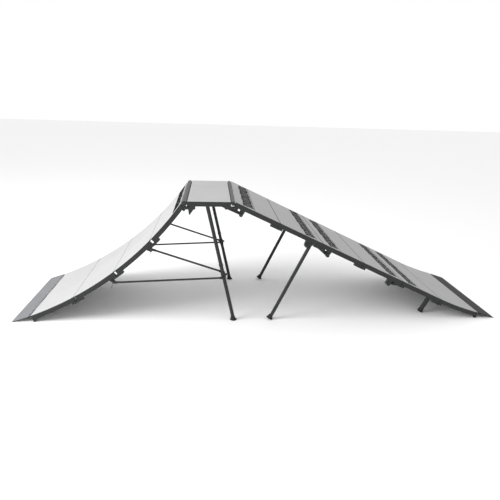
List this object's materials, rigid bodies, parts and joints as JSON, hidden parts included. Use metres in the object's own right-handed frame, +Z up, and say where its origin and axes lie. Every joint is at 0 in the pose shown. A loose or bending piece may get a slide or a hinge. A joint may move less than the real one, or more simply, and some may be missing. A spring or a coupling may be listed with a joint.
{
  "type": "folding jump ramp set",
  "caption": "Folding jump ramp set: curved take-off, flat platform and long landing of hinged panels on tube frames, with braced legs, folding legs and flaps.",
  "frame": {"origin": "on the ground under the middle of the whole set", "axes": "+X along the run from take-off to landing, +Y to the rider's left, +Z up"},
  "size_m": [5.2886, 1.27, 1.3082],
  "materials": {
    "zinc_sheet": "satin grey",
    "dark_sheet": "satin dark grey",
    "pale_deck": "fine-textured composite sheet, pale grey",
    "platform_deck": "fine-textured composite sheet, light grey",
    "grey_deck": "fine-textured composite sheet, mid grey",
    "zinc_steel": "zinc plated",
    "black_rubber": "moulded",
    "black_plastic": "moulded",
    "powder_coat": "dark grey powder coat"
  },
  "bodies": {
    "platform": {"takeoff_frame_2": "powder_coat", "takeoff_frame_3": "powder_coat", "takeoff_frame_4": "powder_coat", "takeoff_deck_2": "pale_deck", "takeoff_deck_3": "pale_deck", "takeoff_deck_4": "pale_deck", "platform_frame": "powder_coat", "platform_deck": "platform_deck", "takeoff_coping": "powder_coat", "landing_coping": "powder_coat", "landing_frame_1": "powder_coat", "landing_deck_1": "grey_deck", "platform_joint_pins": "zinc_steel", "platform_leg_right": "powder_coat", "platform_leg_left": "powder_coat", "leg_collars": "powder_coat", "platform_feet": "black_rubber", "brace_pins": "zinc_steel", "takeoff_fold_pins": "zinc_steel", "landing_fold_pins_1": "zinc_steel"},
    "takeoff_toe": {"takeoff_frame_1": "powder_coat", "takeoff_deck_1": "pale_deck", "approach_hinge_rod": "zinc_steel", "takeoff_toe_feet": "black_rubber"},
    "approach_flap": {"approach_flap": "zinc_sheet"},
    "landing_upper": {"landing_frame_2": "powder_coat", "landing_deck_2": "grey_deck", "landing_frame_3": "powder_coat", "landing_deck_3": "grey_deck", "landing_joint_pins_2": "zinc_steel", "landing_fold_pins_3": "zinc_steel"},
    "landing_middle": {"landing_frame_4": "powder_coat", "landing_deck_4": "grey_deck", "landing_frame_5": "powder_coat", "landing_deck_5": "grey_deck", "landing_joint_pins_4": "zinc_steel", "toe_legs": "powder_coat", "toe_leg_caps": "black_rubber", "landing_fold_pins_5": "zinc_steel"},
    "landing_toe": {"landing_frame_6": "powder_coat", "landing_deck_6": "grey_deck", "exit_hinge_rod": "zinc_steel", "landing_toe_feet": "black_rubber"},
    "exit_flap": {"exit_flap": "dark_sheet"},
    "landing_leg_right": {"landing_leg_right": "powder_coat", "landing_foot_right": "black_rubber"},
    "landing_leg_left": {"landing_leg_left": "powder_coat", "landing_foot_left": "black_rubber"},
    "lower_brace_right": {"lower_brace_right": "powder_coat"},
    "upper_brace_right": {"upper_brace_right": "powder_coat"},
    "lower_brace_left": {"lower_brace_left": "powder_coat"},
    "upper_brace_left": {"upper_brace_left": "powder_coat"},
    "ridge_knob_right": {"ridge_knob_right": "black_plastic"},
    "ridge_knob_left": {"ridge_knob_left": "black_plastic"},
    "leg_knob_right": {"leg_knob_right": "black_plastic"},
    "leg_knob_left": {"leg_knob_left": "black_plastic"},
    "upper_knob_right": {"upper_knob_right": "black_plastic"},
    "upper_knob_left": {"upper_knob_left": "black_plastic"},
    "lower_knob_right": {"lower_knob_right": "black_plastic"},
    "lower_knob_left": {"lower_knob_left": "black_plastic"}
  },
  "joints": [
    {"name": "takeoff_fold", "type": "hinge", "parent": "platform", "child": "takeoff_toe", "pos_m": [-1.98224, 0, 0.21625], "axis": [0, -1, 0], "range_deg": [0, 100]},
    {"name": "approach_flap_hinge", "type": "hinge", "parent": "takeoff_toe", "child": "approach_flap", "pos_m": [-2.4527, 0, 0.05846], "axis": [0, 1, 0], "range_deg": [0, 90]},
    {"name": "landing_upper_fold", "type": "hinge", "parent": "platform", "child": "landing_upper", "pos_m": [0.12558, 0, 1.02671], "axis": [0, 1, 0], "range_deg": [0, 16]},
    {"name": "landing_middle_fold", "type": "hinge", "parent": "landing_upper", "child": "landing_middle", "pos_m": [1.04768, 0, 0.60011], "axis": [0, 1, 0], "range_deg": [0, 70]},
    {"name": "landing_toe_fold", "type": "hinge", "parent": "landing_middle", "child": "landing_toe", "pos_m": [1.96978, 0, 0.17351], "axis": [0, 1, 0], "range_deg": [0, 80]},
    {"name": "exit_flap_hinge", "type": "hinge", "parent": "landing_toe", "child": "exit_flap", "pos_m": [2.45338, 0, 0.05824], "axis": [0, -1, 0], "range_deg": [0, 90]},
    {"name": "landing_leg_right_fold", "type": "hinge", "parent": "landing_upper", "child": "landing_leg_right", "pos_m": [0.46423, 0, 0.85846], "axis": [0, -1, 0], "range_deg": [0, 50]},
    {"name": "landing_leg_left_fold", "type": "hinge", "parent": "landing_upper", "child": "landing_leg_left", "pos_m": [0.46423, 0, 0.85846], "axis": [0, -1, 0], "range_deg": [0, 50]},
    {"name": "lower_brace_right_swing", "type": "hinge", "parent": "platform", "child": "lower_brace_right", "pos_m": [-1.57147, 0, 0.44892], "axis": [0, -1, 0], "range_deg": [0, 28]},
    {"name": "upper_brace_right_swing", "type": "hinge", "parent": "platform", "child": "upper_brace_right", "pos_m": [-1.17663, 0, 0.78858], "axis": [0, -1, 0], "range_deg": [0, 30]},
    {"name": "lower_brace_left_swing", "type": "hinge", "parent": "platform", "child": "lower_brace_left", "pos_m": [-1.57147, 0, 0.44892], "axis": [0, -1, 0], "range_deg": [0, 28]},
    {"name": "upper_brace_left_swing", "type": "hinge", "parent": "platform", "child": "upper_brace_left", "pos_m": [-1.17663, 0, 0.78858], "axis": [0, -1, 0], "range_deg": [0, 30]},
    {"name": "ridge_knob_right_pull", "type": "slide", "parent": "platform", "child": "ridge_knob_right", "axis": [0, -1, 0], "range_m": [0, 0.02], "stiffness_N_per_m": 300},
    {"name": "ridge_knob_left_pull", "type": "slide", "parent": "platform", "child": "ridge_knob_left", "axis": [0, 1, 0], "range_m": [0, 0.02], "stiffness_N_per_m": 300},
    {"name": "leg_knob_right_pull", "type": "slide", "parent": "landing_upper", "child": "leg_knob_right", "axis": [0, -1, 0], "range_m": [0, 0.02], "stiffness_N_per_m": 300},
    {"name": "leg_knob_left_pull", "type": "slide", "parent": "landing_upper", "child": "leg_knob_left", "axis": [0, 1, 0], "range_m": [0, 0.02], "stiffness_N_per_m": 300},
    {"name": "upper_knob_right_pull", "type": "slide", "parent": "landing_upper", "child": "upper_knob_right", "axis": [0, -1, 0], "range_m": [0, 0.02], "stiffness_N_per_m": 300},
    {"name": "upper_knob_left_pull", "type": "slide", "parent": "landing_upper", "child": "upper_knob_left", "axis": [0, 1, 0], "range_m": [0, 0.02], "stiffness_N_per_m": 300},
    {"name": "lower_knob_right_pull", "type": "slide", "parent": "landing_middle", "child": "lower_knob_right", "axis": [0, -1, 0], "range_m": [0, 0.02], "stiffness_N_per_m": 300},
    {"name": "lower_knob_left_pull", "type": "slide", "parent": "landing_middle", "child": "lower_knob_left", "axis": [0, 1, 0], "range_m": [0, 0.02], "stiffness_N_per_m": 300}
  ]
}
